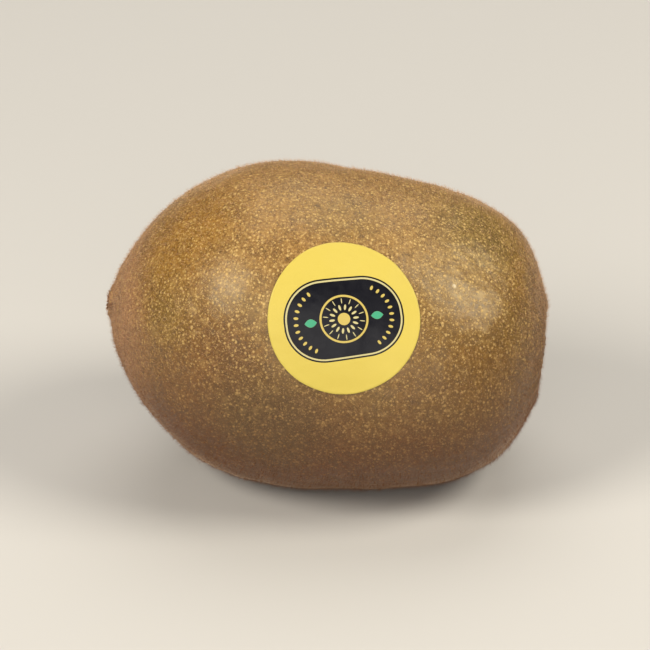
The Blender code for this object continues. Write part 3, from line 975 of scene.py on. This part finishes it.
# Looks that all dried pieces share, then the light, dark and warm colour of each
dried = dict(
    mottle=(420.0, 1500.0, 9000.0), warmShare=0.7, darkShare=0.45, roughness=(0.7, 0.2), bump=(0.00004, 0.8),
    scar=((0.22, 0.17, 0.125), (0.035, 0.022, 0.014), (0.12, 0.065, 0.035)),
    sepals=((0.36, 0.21, 0.11), (0.080, 0.036, 0.018), (0.27, 0.105, 0.042)),
    styles=((0.66, 0.42, 0.25), (0.220, 0.095, 0.045), (0.46, 0.19, 0.090)),
)


def makeCalyxMaterial(name, light, dark, warm):
    # Dry bark-like brown: blotches, warm patches and a grain
    made, tree, shader, where = newMaterial(name, {"Sheen Weight": 0.1, "Specular IOR Level": 0.25})
    areas = mottled(tree, where, dried["mottle"])
    colour = mixColour(tree, areas["Blotch"], light + (1,), dark + (1,))
    colour = mixColour(tree, times(tree, areas["Broad"], dried["warmShare"]), colour, warm + (1,))
    colour = mixColour(tree, times(tree, areas["Grain"], dried["darkShare"]), colour, dark + (1,))
    least, grainRough = dried["roughness"]
    plug(tree, shader, {"Base Color": colour, "Roughness": timesPlus(tree, areas["Grain"], grainRough, least),
                        "Normal": bumped(tree, areas["Grain"], *dried["bump"])})
    return made


finishPiece(makeStalkScar(), makeCalyxMaterial("tornStalk", *dried["scar"]), "stalk_calyx")
finishPiece(makeSepals(), makeCalyxMaterial("driedSepals", *dried["sepals"]))


def tubes(name, paths, radii, sides):
    # Closed tubes: paths has shape (tubes, points, 3) and radii (tubes, points); every tube is a ring of sides
    # round each point of its path, with a point at both ends
    count, steps = paths.shape[:2]
    forward = unit(np.gradient(paths, axis=1))
    spare = np.where(np.abs(forward[..., 2:3]) < 0.9, np.array([0.0, 0.0, 1.0]), np.array([0.0, 1.0, 0.0]))
    first = unit(np.cross(forward, spare))
    second = np.cross(forward, first)
    turn = roundTurns(sides)
    rings = (paths[:, :, None] + radii[:, :, None, None] * (np.cos(turn)[:, None] * first[:, :, None]
                                                            + np.sin(turn)[:, None] * second[:, :, None]))
    ends = np.stack([paths[:, 0], paths[:, -1] + forward[:, -1] * radii[:, -1:]], axis=1)
    verts = np.concatenate([rings.reshape(count, -1, 3), ends], axis=1)
    quads, start, finish = (faces.tolist() for faces in closedFaces(steps, sides))
    return repeatedShape(name, verts, [quads, start + finish])


# Dried flower remains on the pointed end: a knob, the broken styles on it and withered filaments round them
remains = dict(
    knobRadius=0.0011, knobTop=0.0004, knobFloor=-0.0005, knobAround=64, knobRings=14, knobDome=0.72,
    knobWall=(1.03, 1.0, 0.7), knobWallHeights=(0.30, -0.2, -0.66), knobLumps=(0.0006, 0.00008),
    knobLobes=(6, 0.06),
    styles=22, styleLength=(0.0006, 0.0009), styleRadius=0.00012, styleSpread=0.00078,
    styleTilts=(0.12, 0.60), tiltSpread=0.12, styleSunk=0.0003, styleDroop=0.12, styleSteps=7, styleSides=7,
    filaments=44, filamentLength=(0.0009, 0.0014), filamentRadius=0.00007, filamentTilts=(0.86, 1.12),
    filamentStart=0.0006, filamentHeights=(0.0001, 0.0003), filamentDroop=0.10,
    filamentSteps=8, filamentSides=5, wander=0.28, seed=51,
)


def makeStylarKnob():
    # Small rough woody dome sunk in the dimple
    share = np.linspace(0, 1, remains["knobRings"] + 1)[1:]
    radius = np.concatenate([share, remains["knobWall"]]) * remains["knobRadius"]
    dome = np.sqrt(1 - remains["knobDome"] * share**3)
    rise = (np.concatenate([dome, remains["knobWallHeights"]]) * remains["knobTop"])[:, None]
    rho, turns = np.meshgrid(radius, roundTurns(remains["knobAround"]), indexing="ij")
    lumpLength, lumpHeight = remains["knobLumps"]
    height = rise + lumpHeight * waves(flatPoints(rho, turns), lumpLength, remains["seed"]) * (rise > 0)
    lobes, lobeShare = remains["knobLobes"]
    rings = placeAtEnd(stylarEnd, rho * (1 + lobeShare * np.sin(lobes * turns)), turns, height)
    ends = np.array([remains["knobTop"], remains["knobFloor"]])
    return closedRings("stylar_knob", rings, placeAtEnd(stylarEnd, np.zeros(2), np.zeros(2), ends))


def strandPaths(count, lengths, starts, heights, tilts, turns, droop, draw, steps):
    # Bent paths from the knob: straight along the tilt, with a sideways wander and a droop that grow as the
    # square of the share of the length
    share = np.linspace(0, 1, steps)[None]
    reach = lengths[:, None] * share
    wander = draw.uniform(-remains["wander"], remains["wander"], count)[:, None] * lengths[:, None] * share**2
    rho = starts[:, None] + reach * np.sin(tilts)[:, None]
    height = heights[:, None] + reach * np.cos(tilts)[:, None] - droop * lengths[:, None] * share**2
    middle, across, second, out = stylarEnd
    outwards = np.cos(turns)[:, None] * across + np.sin(turns)[:, None] * second
    sideways = -np.sin(turns)[:, None] * across + np.cos(turns)[:, None] * second
    return (middle + rho[..., None] * outwards[:, None] + wander[..., None] * sideways[:, None]
            + height[..., None] * out)


def makeStyles():
    # Broken styles standing on the knob, tilting more towards its edge, each swollen at its tip
    draw = np.random.default_rng(remains["seed"] + 1)
    count, steps = remains["styles"], remains["styleSteps"]
    share = np.sqrt((np.arange(count) + 0.5) / count)
    turns = np.arange(count) * math.pi * (3 - math.sqrt(5))    # the golden angle spreads them evenly
    least, most = remains["styleTilts"]
    spread = remains["tiltSpread"]
    tilts = least + (most - least) * share + draw.uniform(-spread, spread, count)
    lengths = draw.uniform(*remains["styleLength"], count)
    heights = np.full(count, remains["knobTop"] - remains["styleSunk"])
    paths = strandPaths(count, lengths, remains["styleSpread"] * share, heights, tilts, turns,
                        remains["styleDroop"], draw, steps)
    along = np.linspace(0, 1, steps)
    taper = 1.15 - 0.5 * along + 0.45 * np.exp(-(((along - 0.95) / 0.12) ** 2))
    radii = remains["styleRadius"] * draw.uniform(0.8, 1.2, count)[:, None] * taper[None]
    return tubes("broken_styles", paths, radii, remains["styleSides"])


def makeFilaments():
    # Thin withered filaments lying out over the skin from under the styles
    draw = np.random.default_rng(remains["seed"] + 2)
    count, steps = remains["filaments"], remains["filamentSteps"]
    turns = 2 * math.pi * (np.arange(count) + draw.uniform(-0.4, 0.4, count)) / count
    tilts = draw.uniform(*remains["filamentTilts"], count)
    lengths = draw.uniform(*remains["filamentLength"], count)
    heights = draw.uniform(*remains["filamentHeights"], count)
    paths = strandPaths(count, lengths, np.full(count, remains["filamentStart"]), heights, tilts, turns,
                        remains["filamentDroop"], draw, steps)
    radii = remains["filamentRadius"] * draw.uniform(0.7, 1.3, count)[:, None] * np.linspace(1.2, 0.5, steps)
    return tubes("withered_filaments", paths, radii, remains["filamentSides"])


stylesMaterial = makeCalyxMaterial("witheredStyles", *dried["styles"])
finishPiece(makeStylarKnob(), stylesMaterial, "stylar_remains")
for make in (makeStyles, makeFilaments):
    finishPiece(make(), stylesMaterial)
print("dried ends done")


# Stage: a pale floor, soft lamps with their direction, distance, size, power and colour, and a grey world
studio = dict(
    floorSize=3.0, floorDrop=0.00002, floorColour=(0.62, 0.60, 0.57, 1), floorDarker=(0.52, 0.50, 0.47, 1),
    floorNoise=(9.0, 3.0), floorUneven=0.12, worldColour=(0.95, 0.94, 0.93, 1), worldStrength=0.12,
    lamps=(
        ("softLeft", (-0.60, -0.50, 0.61), 0.90, 0.46, 5.7, (1.0, 0.95, 0.85)),
        ("softRight", (0.70, -0.14, 0.70), 0.90, 0.46, 5.2, (1.0, 0.95, 0.84)),
        ("overhead", (0.00, 0.50, 0.86), 0.90, 0.80, 3.0, (1.0, 0.96, 0.90)),
        ("softFront", (0.06, -0.96, 0.27), 1.10, 1.00, 6.0, (1.0, 0.96, 0.90)),
    ),
)
fruitMiddle = (cadLow + cadHigh) / 2


def makeFloor():
    # Large pale floor just under the fruit, with a faint unevenness of tone
    made, tree, shader, where = newMaterial("paleFloor", {"Roughness": 0.7})
    uneven = times(tree, noise(tree, where, *studio["floorNoise"]), studio["floorUneven"])
    plug(tree, shader, {"Base Color": mixColour(tree, uneven, studio["floorColour"], studio["floorDarker"])})
    half, drop = studio["floorSize"] / 2, -studio["floorDrop"]
    corners = np.array([[-half, -half, drop], [half, -half, drop], [half, half, drop], [-half, half, drop]])
    floor = putMesh("floor", corners, [np.array([[0, 1, 2, 3]])])
    floor.data.materials.append(made)


def aim(thing, place, target):
    # Puts a lamp or the camera at place, looking at target
    thing.location = place
    thing.rotation_euler = (target - Vector(place)).to_track_quat("-Z", "Y").to_euler()


def makeLamps():
    # Round soft lamps, each at its distance along a direction from the fruit's middle, and an even grey world
    for name, direction, distance, size, power, colour in studio["lamps"]:
        lamp = bpy.data.lights.new(name, "AREA")
        lamp.shape = "DISK"
        lamp.size = size
        lamp.energy = power
        lamp.color = colour
        aim(putObject(name, lamp), fruitMiddle + Vector(direction).normalized() * distance, fruitMiddle)
    world = bpy.data.worlds.new("softRoom")
    world.use_nodes = True
    plug(world.node_tree, world.node_tree.nodes["Background"],
         {"Color": studio["worldColour"], "Strength": studio["worldStrength"]})
    bpy.context.scene.world = world


# Camera: the photograph's angle, with the fruit across about two thirds of the frame
view = dict(azimuth=math.radians(4.0), elevation=math.radians(27.0), distance=0.70, sensor=36.0, fill=0.68,
            drop=0.0011)


def makeCamera():
    # Camera at a distance along the photograph's angle; the lens length makes the fruit fill its share of the
    # frame's width
    lens = bpy.data.cameras.new("camera")
    lens.sensor_width = view["sensor"]
    span = (cadHigh.x - cadLow.x) / view["fill"]
    lens.lens = view["sensor"] * view["distance"] / span
    lens.clip_start = 0.01
    holder = putObject("camera", lens)
    back = Vector((math.sin(view["azimuth"]) * math.cos(view["elevation"]),
                   -math.cos(view["azimuth"]) * math.cos(view["elevation"]), math.sin(view["elevation"])))
    target = fruitMiddle - Vector((0, 0, view["drop"]))
    aim(holder, target + back * view["distance"], target)
    bpy.context.scene.camera = holder


makeFloor()
makeLamps()
makeCamera()
bpy.context.scene.view_settings.view_transform = "Standard"
print("stage done")
